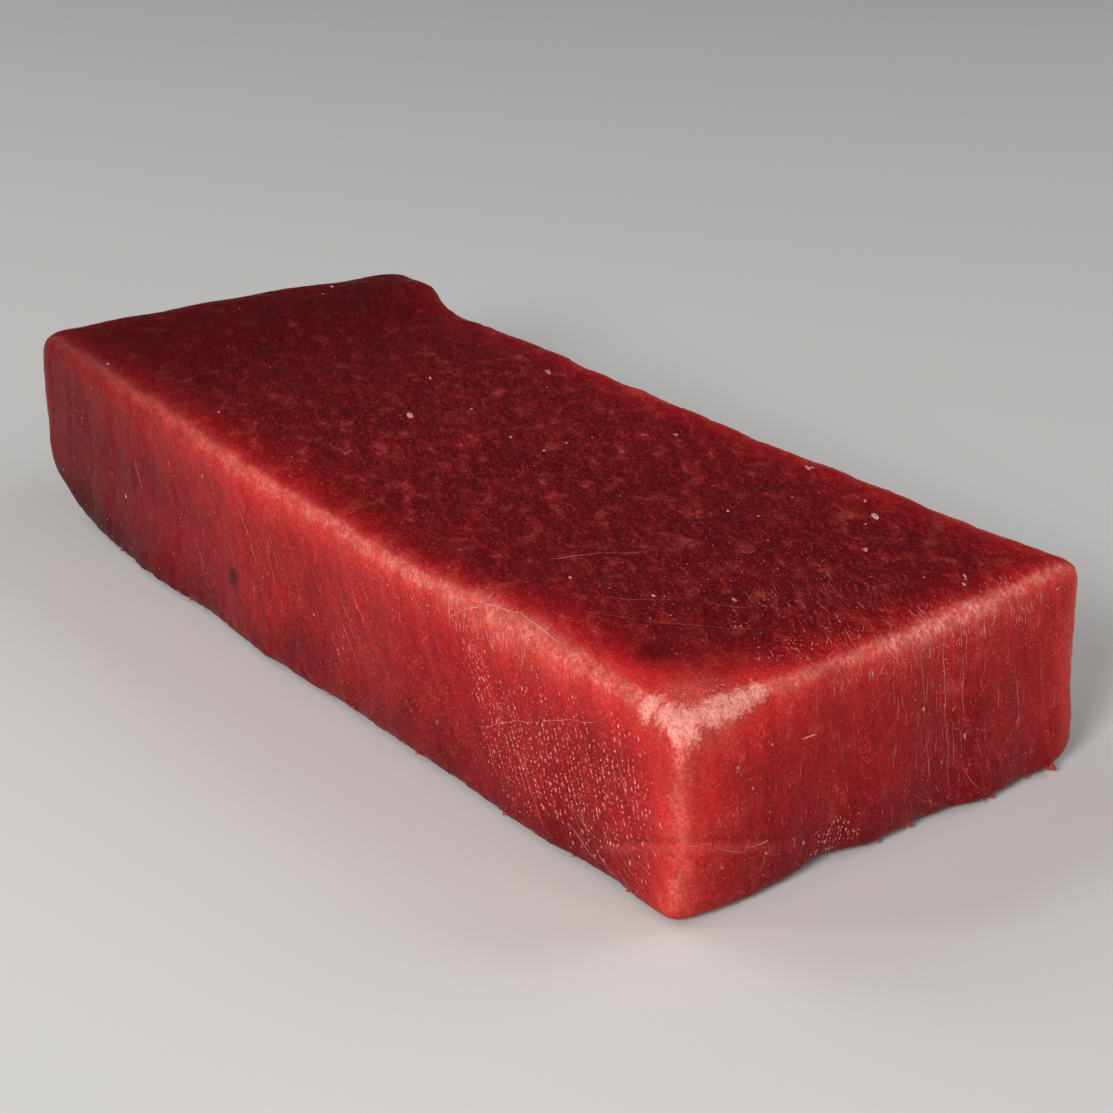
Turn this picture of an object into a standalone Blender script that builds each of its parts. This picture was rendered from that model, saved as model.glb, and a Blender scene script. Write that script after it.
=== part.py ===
"""A block of raw tuna loin, cut square for slicing and laid flat.

The block is one solid. X runs along its length with the clean-cut end at +X, Y runs across it with
the long front side at -Y, and Z is up from the flat underside. It starts as a plain box, which is
cut into a grid of faces, rounded along each of its twelve edges, and then shaped like soft flesh:
sides that sway, a thicker far end, a lifted corner, an uneven foot, and the shallow seams between
the muscle sheets, which cross it at one slant.
"""

import math

import bmesh
import bpy
from mathutils import Vector, noise

MM = 0.001

# Driving sizes of the block.
LENGTH = 174.0 * MM
WIDTH = 73.2 * MM
THICKNESS = 30.7 * MM
HALF = Vector((LENGTH, WIDTH, THICKNESS)) / 2
X, Y, Z = 0, 1, 2

# The grid of faces: narrow beside each edge, so that the rounds are smooth, and wider inside.
FIRST_STEP = 0.8 * MM
STEP_GROWTH = 1.38
WIDEST_STEP = 3.5 * MM

# Radii of the rounds along the edges, each given across its two faces.
# An edge is (first axis, its side, second axis, its side, first radius, second radius).
BACK_CREST_ROUND = 2.6 * MM
END_CREST_ROUND = 2.4 * MM
UPRIGHT_ROUND = 2.3 * MM
FOOT_ROUND = 1.5 * MM
EDGES = (
    (Y, 1, Z, 1, 1.1 * BACK_CREST_ROUND, BACK_CREST_ROUND),
    (X, 1, Z, 1, END_CREST_ROUND, END_CREST_ROUND),
    (X, -1, Z, 1, 1.8 * END_CREST_ROUND, 1.5 * END_CREST_ROUND),
    (X, 1, Y, -1, UPRIGHT_ROUND, UPRIGHT_ROUND),
    (X, 1, Y, 1, UPRIGHT_ROUND, UPRIGHT_ROUND),
    (X, -1, Y, -1, 1.3 * UPRIGHT_ROUND, 1.3 * UPRIGHT_ROUND),
    (X, -1, Y, 1, 2.0 * UPRIGHT_ROUND, 2.0 * UPRIGHT_ROUND),
    (Y, -1, Z, -1, FOOT_ROUND, FOOT_ROUND),
    (Y, 1, Z, -1, FOOT_ROUND, FOOT_ROUND),
    (X, 1, Z, -1, FOOT_ROUND, FOOT_ROUND),
    (X, -1, Z, -1, 2.0 * FOOT_ROUND, 2.0 * FOOT_ROUND),
)

# The lower corner at the far end of the front side sweeps up off the board, and fades out across.
SWEPT_CORNER_RUN = 20.5 * MM
SWEPT_CORNER_RISE = 14.0 * MM
SWEPT_CORNER_FADE = 40.0 * MM

# The round of the front crest widens into a sloping shoulder toward the clean-cut end.
FRONT_CREST_ACROSS = 4.6 * MM
FRONT_CREST_DOWN = 3.6 * MM
SHOULDER_ACROSS = 8.5 * MM
SHOULDER_DOWN = 4.6 * MM
SHOULDER_STARTS = 36.0 * MM
SHOULDER_FULL = 60.0 * MM

# The lower corner of the clean-cut end, at the back, has a shorter round of its own.
HEEL_RUN = 4.0 * MM
HEEL_RISE = 3.5 * MM
HEEL_FADE = 12.0 * MM

# How far the upright faces stand out from the plain box, in millimetres, read along each edge.
# Each is a smooth line through (place along the edge, how far out).
FRONT_FOOT_SWAY = (
    (-86, -0.4), (-74, -1.2), (-60, 0.2), (-46, 1.5), (-28, 0.5), (-10, 1.6),
    (16, 0.4), (45, 0.2), (54, 0.8), (70, -0.9), (86, -0.3),
)
FRONT_CREST_SWAY = ((-86, -0.6), (-46, -0.4), (-14, 0.4), (28, 0.9), (50, -0.2), (70, -0.2), (86, 0.3))
BACK_FOOT_SWAY = ((-86, 1.6), (-60, 0.6), (-30, -0.5), (0, 0.5), (40, 0.2), (70, 0.9), (86, 2.2))
BACK_CREST_SWAY = (
    (-86, 2.8), (-74, 2.2), (-60, -1.2), (-50, -0.5), (-33, 0.0), (-22, -1.2),
    (10, -0.8), (50, -0.3), (65, 0.4), (86, 0.8),
)
END_FOOT_SWAY = (
    (-36, -0.4), (-26, 0.5), (-19, 0.6), (-12, -1.3), (-8, -1.0), (-4, 0.7), (2, 0.2),
    (7, -0.2), (13, 0.3), (17, 1.9), (21, 1.5), (27, 0.6), (36, 0.2),
)
END_CREST_SWAY = ((-36, 0.9), (-22, 0.1), (0, 0.5), (12, -0.2), (36, -1.0))
FAR_FOOT_SWAY = ((-36, 0.2), (-10, 1.4), (14, 0.2), (36, 1.6))
FAR_CREST_SWAY = ((-36, 0.3), (-14, 1.6), (6, 2.4), (24, 0.4), (36, 0.2))
SWAY_DEPTH = 16.0 * MM

# Height of the top face above the plain box, in millimetres, along its front and back edges.
FRONT_RISE = ((-86, 2.6), (-68, 2.0), (-45, 0.9), (-20, -0.1), (30, -0.6), (60, 0.2), (86, 0.0))
BACK_RISE = ((-86, 0.6), (-74, 0.9), (-58, -0.6), (-20, -0.5), (20, -0.4), (60, 0.0), (86, 0.7))
TOP_SAG = 0.35 * MM

# The foot of the clean-cut end lifts off the board here and there, by so many millimetres.
END_FOOT_LIFT = (
    (-24, 0.0), (-17, 0.4), (-11, 0.8), (-6, 0.2), (4, 0.3), (11, 0.2), (16, 0.0), (30, 0.3), (36, 0.8),
)
LIFT_REACH = 7.0 * MM

# The muscle sheets: flat layers through the whole block, all square to this one direction.
SHEET_NORMAL = Vector((0.83, -0.55, -0.08)).normalized()
SHEET_PITCH = 9.5 * MM
SHEET_WANDER = 2.2 * MM
SEAM_DEPTH = 0.3 * MM
SEAM_WIDTH = 2.5 * MM

# Soft unevenness of the flesh.
SWELL_SIZE = 24.0 * MM
SWELL_HEIGHT = 0.45 * MM
LUMP_SIZE = 8.0 * MM
LUMP_HEIGHT = 0.22 * MM
RELIEF_STARTS = 0.4 * MM
RELIEF_FULL = 3.0 * MM

# Small torn tags of flesh that hang on the edges: where each is rooted on the plain box, and its pull.
TAG_REACH = 3.2 * MM
TAGS = (
    (Vector((87.0, 31.5, 1.2)) * MM, Vector((1.5, 0.3, -0.3)) * MM),
    (Vector((87.0, 5.5, 1.0)) * MM, Vector((1.2, 0.2, -0.4)) * MM),
    (Vector((87.0, -14.5, 1.2)) * MM, Vector((1.1, 0.0, -0.3)) * MM),
    (Vector((62.5, -36.6, 0.8)) * MM, Vector((0.2, -1.0, -0.3)) * MM),
    (Vector((70.0, 36.6, 29.5)) * MM, Vector((0.3, 0.4, 0.4)) * MM),
    (Vector((-76.0, 36.6, 29.5)) * MM, Vector((0.0, 0.8, 0.7)) * MM),
)

SMOOTH_ANGLE = math.radians(50)


def along(line, place):
    """Height in metres of the smooth line through these millimetre points, at this place in metres."""
    place = place / MM
    if place <= line[0][0]:
        return line[0][1] * MM
    for (start, low), (end, high) in zip(line, line[1:]):
        if place <= end:
            share = (place - start) / (end - start)
            eased = share * share * (3 - 2 * share)
            return (low + (high - low) * eased) * MM
    return line[-1][1] * MM


def ramp(value, start, end):
    """0 before start and 1 past end, eased between them. Start may be the larger."""
    share = min(1.0, max(0.0, (value - start) / (end - start)))
    return share * share * (3 - 2 * share)


def grid_places(half):
    """Where the box is cut across one axis: narrow steps beside both ends, wide ones between."""
    places = []
    place, step = 0.0, FIRST_STEP
    while step < WIDEST_STEP and place + step < half:
        place += step
        places.append(half - place)
        step *= STEP_GROWTH
    inner = half - place
    count = max(1, round(2 * inner / WIDEST_STEP))
    middle = [inner - 2 * inner * n / count for n in range(1, count)]
    return [*places, *middle, *[-p for p in places]]


def gridded_box():
    """The plain box, centred on the origin, with its faces cut into a grid."""
    mesh = bmesh.new()
    bmesh.ops.create_cube(mesh, size=1.0)
    bmesh.ops.scale(mesh, vec=2 * HALF, verts=mesh.verts)
    for axis in (X, Y, Z):
        for place in grid_places(HALF[axis]):
            cut_at = Vector()
            cut_at[axis] = place
            facing = Vector()
            facing[axis] = 1.0
            everything = [*mesh.verts, *mesh.edges, *mesh.faces]
            bmesh.ops.bisect_plane(mesh, geom=everything, plane_co=cut_at, plane_no=facing)
    return mesh


def rounded(point, first, first_side, second, second_side, first_radius, second_radius, share=1.0):
    """The point moved onto an elliptic round between two faces of the box."""
    a = (first_side * point[first] - HALF[first]) / first_radius + 1
    b = (second_side * point[second] - HALF[second]) / second_radius + 1
    if a <= 0 or b <= 0:
        return point
    pull = 1 + (max(a, b) / math.hypot(a, b) - 1) * share
    moved = point.copy()
    moved[first] = first_side * (HALF[first] + (a * pull - 1) * first_radius)
    moved[second] = second_side * (HALF[second] + (b * pull - 1) * second_radius)
    return moved


def with_rounds(point):
    """The point after the corner sweeps and the rounds of all twelve edges."""
    from_front = point.y + HALF.y
    sweep = 1 - ramp(from_front, 0.0, SWEPT_CORNER_FADE)
    point = rounded(point, X, -1, Z, -1, SWEPT_CORNER_RUN, SWEPT_CORNER_RISE, sweep)
    shoulder = ramp(point.x, SHOULDER_STARTS, SHOULDER_FULL)
    across = FRONT_CREST_ACROSS + (SHOULDER_ACROSS - FRONT_CREST_ACROSS) * shoulder
    down = FRONT_CREST_DOWN + (SHOULDER_DOWN - FRONT_CREST_DOWN) * shoulder
    point = rounded(point, Y, -1, Z, 1, across, down)
    heel = 1 - ramp(HALF.x - point.x, 0.0, HEEL_FADE)
    point = rounded(point, Y, 1, Z, -1, HEEL_RUN, HEEL_RISE, heel)
    for edge in EDGES:
        point = rounded(point, *edge)
    return point


def shaped(point, box_point):
    """The rounded point after the sway of the sides, the rise of the top and the lift of the foot."""
    height = (box_point.z + HALF.z) / THICKNESS
    front = max(0.0, 1 - (box_point.y + HALF.y) / SWAY_DEPTH) ** 2
    back = max(0.0, 1 - (HALF.y - box_point.y) / SWAY_DEPTH) ** 2
    near = max(0.0, 1 - (HALF.x - box_point.x) / SWAY_DEPTH) ** 2
    far = max(0.0, 1 - (box_point.x + HALF.x) / SWAY_DEPTH) ** 2
    moved = point.copy()
    moved.y -= front * between(FRONT_FOOT_SWAY, FRONT_CREST_SWAY, point.x, height)
    moved.y += back * between(BACK_FOOT_SWAY, BACK_CREST_SWAY, point.x, height)
    moved.x += near * between(END_FOOT_SWAY, END_CREST_SWAY, point.y, height)
    moved.x -= far * between(FAR_FOOT_SWAY, FAR_CREST_SWAY, point.y, height)

    across = (point.y + HALF.y) / WIDTH
    rise = along(FRONT_RISE, point.x) * (1 - across) + along(BACK_RISE, point.x) * across
    rise -= TOP_SAG * 4 * across * (1 - across)
    from_base = point.z + HALF.z
    moved.z += rise * from_base / THICKNESS
    near_foot = ramp(HALF.x - box_point.x, LIFT_REACH, 0.0) * ramp(from_base, LIFT_REACH, 0.0)
    moved.z += along(END_FOOT_LIFT, point.y) * near_foot
    return moved


def between(foot, crest, place, height):
    """How far a side stands out at this height, from its lines at the foot and at the crest."""
    low_share = (1 - height) ** 2
    return along(foot, place) * low_share + along(crest, place) * (1 - low_share)


def flesh_relief(point):
    """How far the flesh stands out of its smooth form here: swells, lumps and muscle seams."""
    swell = noise.noise(point / SWELL_SIZE) * SWELL_HEIGHT
    lump = noise.noise(point / LUMP_SIZE + Vector((7.0, 3.0, 5.0))) * LUMP_HEIGHT
    wander = noise.noise(point / (2 * SWELL_SIZE) + Vector((1.0, 8.0, 4.0))) * SHEET_WANDER
    place = (point.dot(SHEET_NORMAL) + wander) / SHEET_PITCH
    from_seam = abs(place - round(place)) * SHEET_PITCH
    seam = -SEAM_DEPTH * math.exp(-((from_seam / SEAM_WIDTH) ** 2))
    return swell + lump + seam


def tag_pull(box_point):
    """The pull of the small torn tags on a point of the box."""
    pull = Vector()
    for root, direction in TAGS:
        from_root = (box_point + Vector((0, 0, HALF.z)) - root).length
        pull += direction * max(0.0, 1 - from_root / TAG_REACH) ** 2
    return pull


def shape_flesh(mesh):
    """Moves every point of the gridded box to its place on the block."""
    box_points = [vertex.co.copy() for vertex in mesh.verts]
    for vertex, box_point in zip(mesh.verts, box_points):
        vertex.co = shaped(with_rounds(box_point), box_point)
    mesh.normal_update()
    normals = [vertex.normal.copy() for vertex in mesh.verts]
    for vertex, box_point, normal in zip(mesh.verts, box_points, normals):
        standing = ramp(vertex.co.z + HALF.z, RELIEF_STARTS, RELIEF_FULL)
        vertex.co += normal * flesh_relief(vertex.co) * standing
        vertex.co += tag_pull(box_point)


def flatten_underside(mesh):
    """Joins the flat faces that rest on the board into one."""
    for vertex in mesh.verts:
        vertex.co.z = max(vertex.co.z, -HALF.z)
    flat = [face for face in mesh.faces if all(abs(v.co.z + HALF.z) < 1e-7 for v in face.verts)]
    bmesh.ops.dissolve_faces(mesh, faces=flat)


def stand_on_origin(mesh):
    """Puts the middle of the block's base on the origin."""
    corners = [[op(v.co[axis] for v in mesh.verts) for axis in (X, Y, Z)] for op in (min, max)]
    low, high = Vector(corners[0]), Vector(corners[1])
    shift = -(low + high) / 2
    shift.z = -low.z
    bmesh.ops.translate(mesh, vec=shift, verts=mesh.verts)


def flesh_material():
    """Raw red flesh: dark, wet and a little see-through."""
    material = bpy.data.materials.new("raw_tuna_flesh")
    material.use_nodes = True
    shader = material.node_tree.nodes["Principled BSDF"]
    shader.inputs["Base Color"].default_value = (0.36, 0.03, 0.035, 1.0)
    shader.inputs["Roughness"].default_value = 0.38
    shader.inputs["Metallic"].default_value = 0.0
    shader.inputs["Subsurface Weight"].default_value = 0.3
    shader.inputs["Subsurface Radius"].default_value = (0.006, 0.001, 0.001)
    material.diffuse_color = (0.36, 0.03, 0.035, 1.0)
    return material


def tuna_steak():
    """Makes the finished block."""
    mesh = gridded_box()
    shape_flesh(mesh)
    flatten_underside(mesh)
    stand_on_origin(mesh)
    bmesh.ops.triangulate(mesh, faces=mesh.faces, quad_method="BEAUTY", ngon_method="BEAUTY")
    bmesh.ops.recalc_face_normals(mesh, faces=mesh.faces)
    data = bpy.data.meshes.new("tuna_steak")
    mesh.to_mesh(data)
    mesh.free()
    data.shade_smooth()
    data.set_sharp_from_angle(angle=SMOOTH_ANGLE)
    data.materials.append(flesh_material())
    bpy.context.scene.collection.objects.link(bpy.data.objects.new("tuna_steak", data))


def clear_scene():
    """Removes the objects that Blender starts with."""
    for thing in list(bpy.data.objects):
        bpy.data.objects.remove(thing)


clear_scene()
tuna_steak()
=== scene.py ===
"""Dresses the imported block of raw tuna: the flesh itself, the wet fibre ends, pale flecks, sinews and
torn tags on it, and a plain studio round it. X runs along the block, -Y is its front side, Z is up."""

import functools
import math
import random

import bmesh
import bpy
from mathutils import Matrix, Vector
from mathutils.bvhtree import BVHTree


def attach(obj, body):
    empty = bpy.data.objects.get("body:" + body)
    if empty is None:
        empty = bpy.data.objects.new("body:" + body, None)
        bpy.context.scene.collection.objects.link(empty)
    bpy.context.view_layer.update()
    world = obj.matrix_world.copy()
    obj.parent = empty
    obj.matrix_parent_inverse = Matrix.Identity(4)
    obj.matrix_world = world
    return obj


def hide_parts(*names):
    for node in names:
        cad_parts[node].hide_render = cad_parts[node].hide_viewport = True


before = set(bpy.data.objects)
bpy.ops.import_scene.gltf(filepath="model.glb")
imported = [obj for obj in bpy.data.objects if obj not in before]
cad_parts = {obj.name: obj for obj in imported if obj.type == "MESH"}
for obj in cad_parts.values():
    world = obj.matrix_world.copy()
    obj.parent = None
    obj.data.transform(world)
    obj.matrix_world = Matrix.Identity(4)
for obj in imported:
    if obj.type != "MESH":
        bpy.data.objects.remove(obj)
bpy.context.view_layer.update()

bl_info = {
    "name": "Raw tuna block",
    "version": (1, 0, 0),
    "blender": (4, 5, 0),
    "location": "View3D > Sidebar > Tuna",
    "description": "Builds a block of raw tuna with its fibre, flecks and sinews on a plain studio floor",
    "category": "Object",
}

MM = 0.001
NODE = "tuna_steak"

# The flat knife cut that crosses the near corner: it passes this point and is square to this direction.
KNIFE_POINT = Vector((87.0, -37.2, 13.6)) * MM
KNIFE_NORMAL = Vector((-0.48, 0.33, 1.0)).normalized()

# The fine crease in the top is square to this direction.
CREASE_NORMAL = Vector((-0.66, 0.75, 0.0)).normalized()

# The muscle sheets are stacked square to this direction.
SEAM_NORMAL = Vector((0.83, -0.55, -0.08)).normalized()

# Each side: the way to look at it, the two axes that its places are given in, and how many degrees its
# fibres lean over towards the first axis from straight down the second.
SIDES = {
    "front": ((0, 1, 0), (0, 2), 30.0),
    "back": ((0, -1, 0), (0, 2), 30.0),
    "end": ((-1, 0, 0), (1, 2), 9.5),
    "far": ((1, 0, 0), (1, 2), -9.5),
    "top": ((0, 0, -1), (0, 1), 62.7),
    "under": ((0, 0, 1), (0, 1), 62.7),
}

# The kinds of nodes that are used most, and the setting that makes a range ease in and out.
MATH = "ShaderNodeMath"
VECTOR_MATH = "ShaderNodeVectorMath"
MAP_RANGE = "ShaderNodeMapRange"
NOISE = "ShaderNodeTexNoise"
MIX = "ShaderNodeMix"
SEPARATE = "ShaderNodeSeparateXYZ"
EASED = {"interpolation_type": "SMOOTHSTEP"}

# The sizes of the relief, by the names that they have in the tree of the flesh.
RELIEF = (
    "Fibre relief", "Lump relief", "Crumb relief", "Foot relief", "Seam pitch", "Seam depth", "Knife depth",
)

MERGE_WITHIN = 1e-6  # metres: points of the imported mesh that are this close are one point
SOFTEN_ROUNDS = 4  # of blurring the normals, to find the crests
SMOOTH_ROUNDS = 14  # of blurring the flat parts, to lose their facets
RIDGE_FROM = 0.8  # a point that is this much of a crest lies on its ridge
RAY_START = 0.2  # metres: well outside the block
LEAST_FACING = 0.35  # flesh that faces a side less than this is past the crest
PATH_STEP = 0.6 * MM
TAG_STEPS = 5
FLOOR_HALF = 3.0  # metres


def grain_of(side, lean=None):
    """The way that the fibres run on one side."""
    _, axes, usual = SIDES[side]
    turn = math.radians(usual if lean is None else lean)
    grain = Vector((0.0, 0.0, 0.0))
    grain[axes[0]], grain[axes[1]] = math.sin(turn), -math.cos(turn)
    return grain


def colour(hex_text):
    """Linear red, green, blue and a full alpha of an sRGB hex colour."""
    parts = [int(hex_text[n : n + 2], 16) / 255 for n in (0, 2, 4)]
    return (*(p / 12.92 if p <= 0.04045 else ((p + 0.055) / 1.055) ** 2.4 for p in parts), 1.0)


def length_property(name, description, millimetres, most):
    """A length in metres that a user can change."""
    return bpy.props.FloatProperty(
        name=name, description=description, default=millimetres * MM, min=0.0, max=most * MM,
        precision=5, subtype="DISTANCE", unit="LENGTH",
    )


def colour_property(name, description, hex_text):
    """A colour that a user can change."""
    return bpy.props.FloatVectorProperty(
        name=name, description=description, default=colour(hex_text), size=4, min=0.0, max=1.0,
        subtype="COLOR",
    )


class TunaSizes(bpy.types.PropertyGroup):
    """Sizes of the block's relief and of the small things on it."""

    cell: length_property("Cell", "Size of one face of the flesh", 0.7, 5.0)
    fibre_relief: length_property("Fibre relief", "Height of the fibre ridges", 0.11, 1.0)
    lump_relief: length_property("Lump relief", "Height of the soft lumps", 0.16, 1.0)
    crumb_relief: length_property("Crumb relief", "Height of the crumbly crests", 0.45, 1.0)
    foot_relief: length_property("Foot relief", "How far the ragged foot edges go in and out", 1.4, 4.0)
    seam_pitch: length_property("Seam pitch", "Distance between muscle seams", 6.5, 40.0)
    seam_depth: length_property("Seam depth", "Depth of the muscle seams", 0.10, 1.0)
    knife_depth: length_property("Knife depth", "Depth of the knife cut at the corner", 0.16, 1.0)
    fibre_end: length_property("Fibre end", "Width of one wet fibre end", 0.20, 1.0)
    fleck: length_property("Fleck", "Width of a usual pale fleck", 0.55, 3.0)
    sinew: length_property("Sinew", "Thickness of a sinew thread", 0.13, 1.0)
    tag: length_property("Tag", "Length of a torn tag", 1.6, 6.0)


class TunaColours(bpy.types.PropertyGroup):
    """Colours of the flesh and of the floor."""

    flesh: colour_property("Flesh", "Lean flesh on the cut sides", "8f191f")
    # Painted glow: flesh beside a crest on the sides, lit by light that comes through the crest.
    side_band: colour_property("Side band", "Flesh beside a crest, on the sides", "c62425")
    # Painted shade: the top and the underside get darker flesh than the sides, standing in for the top's
    # weaker light.
    top: colour_property("Top", "Flesh of the top and underside, which is deeper", "660e12")
    # Painted glow: flesh beside a crest on the top, lit by light that comes through the crest.
    top_band: colour_property("Top band", "Flesh beside a crest, on the top", "bd1620")
    # Also paints the shade in the knife cut and in the crease, along the foot and towards the far end.
    deep: colour_property("Deep", "Blood-rich flesh", "4a080d")
    fibre: colour_property("Fibre", "Fibres that catch the light", "b43230")
    # Partly pale flesh and partly a painted highlight; it also paints the sheen, the glint specks and the
    # highlights of the knife lip and the crease.
    crest: colour_property("Crest", "Thin, pale flesh along the crests", "d05248")
    # Also paints the thin highlight line along the very edge of the crests.
    patch: colour_property("Patch", "The palest flesh, at the near corner", "f29a8d")
    fleck: colour_property("Fleck", "Fat and connective tissue", "ebb9a9")
    floor: colour_property("Floor", "Plain pale floor", "dcdad7")


def add(tree, kind, inputs=None, out=None, **settings):
    """Adds a node, or takes one that is there, gives it its settings, fills or links its inputs by name or
    place, and gives an output."""
    made = tree.nodes.new(kind) if isinstance(kind, str) else kind
    for name, value in settings.items():
        setattr(made, name, value)
    live = [socket for socket in made.inputs if socket.enabled]
    for name, value in (inputs or {}).items():
        socket = live[name] if isinstance(name, int) else next(s for s in live if s.name == name)
        if isinstance(value, bpy.types.NodeSocket):
            tree.links.new(value, socket)
        else:
            socket.default_value = value
    outputs = [socket for socket in made.outputs if socket.enabled and out in (None, socket.name)]
    return outputs[0] if outputs else made


def fibre_pattern(new, point, top, end, stretch, scale, detail, roughness):
    """Noise drawn out along the fibres of whichever side the point is on; scale is waves to a millimetre."""
    drawn = []
    for side in ("front", "top", "end"):
        grain = grain_of(side)
        along = new(VECTOR_MATH, {0: point, 1: grain}, out="Value", operation="DOT_PRODUCT")
        back = new(MATH, {0: along, 1: 1 / stretch - 1}, operation="MULTIPLY")
        shift = new(VECTOR_MATH, {0: grain, "Scale": back}, operation="SCALE")
        place = new(VECTOR_MATH, {0: point, 1: shift}, operation="ADD")
        drawn.append(new(NOISE, {"Vector": place, "Scale": scale, "Detail": detail, "Roughness": roughness}))
    sides = new(MIX, {"Factor": top, "A": drawn[0], "B": drawn[1]}, data_type="FLOAT")
    return new(MIX, {"Factor": end, "A": sides, "B": drawn[2]}, data_type="FLOAT")


def new_tree(name, inputs):
    """A geometry tree with a mesh in and out and these named number or material inputs, a function that adds
    nodes to it, and its inputs by name."""
    tree = bpy.data.node_groups.new(name, "GeometryNodeTree")
    for way in ("INPUT", "OUTPUT"):
        tree.interface.new_socket("Geometry", in_out=way, socket_type="NodeSocketGeometry")
    for label, value in inputs.items():
        kind = "NodeSocketMaterial" if isinstance(value, bpy.types.Material) else "NodeSocketFloat"
        tree.interface.new_socket(label, in_out="INPUT", socket_type=kind)
    group = tree.nodes.new("NodeGroupInput")
    return tree, functools.partial(add, tree), {socket.name: socket for socket in group.outputs}


def finish_tree(new, shape, material):
    """Every tree ends like this: shaded smooth, made real, and given its material."""
    shape = new("GeometryNodeSetShadeSmooth", {"Geometry": shape})
    shape = new("GeometryNodeRealizeInstances", {"Geometry": shape})
    shape = new("GeometryNodeSetMaterial", {"Geometry": shape, "Material": material})
    new("NodeGroupOutput", {"Geometry": shape})


def placed(name, data):
    """A new object in the scene with this mesh, lamp or camera."""
    made = bpy.data.objects.new(name, data)
    bpy.context.scene.collection.objects.link(made)
    return made


def modified(source):
    """The mesh that an object's modifier makes; the object itself is taken away."""
    graph = bpy.context.evaluated_depsgraph_get()
    mesh = bpy.data.meshes.new_from_object(source.evaluated_get(graph), depsgraph=graph)
    bpy.data.objects.remove(source)
    return mesh


def grown(name, mesh, tree, inputs):
    """Runs a geometry tree on a mesh and gives the result as a plain object at the origin."""
    source = placed(name + "_source", mesh)
    modifier = source.modifiers.new(tree.name, "NODES")
    modifier.node_group = tree
    for item in tree.interface.items_tree:
        if item.in_out == "INPUT" and item.name in inputs:
            modifier[item.identifier] = inputs[item.name]
    plain = modified(source)
    plain.name = name
    return placed(name, plain)


def new_material(name):
    """An empty node material with its shader, and a function that adds nodes to it."""
    material = bpy.data.materials.new(name)
    material.use_nodes = True
    return material, material.node_tree.nodes["Principled BSDF"], functools.partial(add, material.node_tree)


def near_spot(new, point, spot, inner, outer):
    """1 within the inner distance of a spot, in millimetres, easing to 0 at the outer one."""
    away = new(VECTOR_MATH, {0: point, 1: spot}, out="Value", operation="DISTANCE")
    return new(MAP_RANGE, {0: away, 1: inner, 2: outer, 3: 1.0, 4: 0.0}, **EASED)


# Places where the flesh looks its own way, in millimetres: middle, how far it holds, where it has faded out.
ZONES = {
    "round_corner": ((84.5, -33.0, 29.0), 6.0, 21.0),
    "upright_edge": ((88.0, -29.0, 19.0), 3.0, 14.0),
    "shoulder": ((52.0, -36.0, 28.0), 6.0, 22.0),
    "worn_crest": ((86.5, 9.0, 29.5), 5.0, 20.0),
    "pale_corner": ((85.0, -32.5, 30.0), 2.5, 9.5),
    "frayed_crest": ((87.0, 8.0, 29.5), 4.0, 17.0),
    "crease": ((68.5, -19.5, 30.5), 9.0, 17.0),
    "blood_spot": ((-17.6, -37.0, 11.0), 0.4, 3.2),
    "clot": ((71.6, -27.9, 30.5), 0.5, 4.5),
    "corner_foot": ((88.0, -35.5, 3.0), 3.0, 14.0),
}

# Whitish patches at the near corner, in millimetres: middle, reach.
WHITISH = (
    ((79.8, -35.5, 28.4), 3.2),
    ((82.6, -35.4, 28.7), 3.2),
    ((85.6, -35.2, 28.8), 5.6),
    ((86.6, -32.0, 29.6), 4.2),
    ((86.7, -29.3, 29.8), 4.0),
    ((86.6, -26.6, 29.7), 3.6),
    ((86.6, -23.8, 29.6), 2.8),
)


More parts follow.
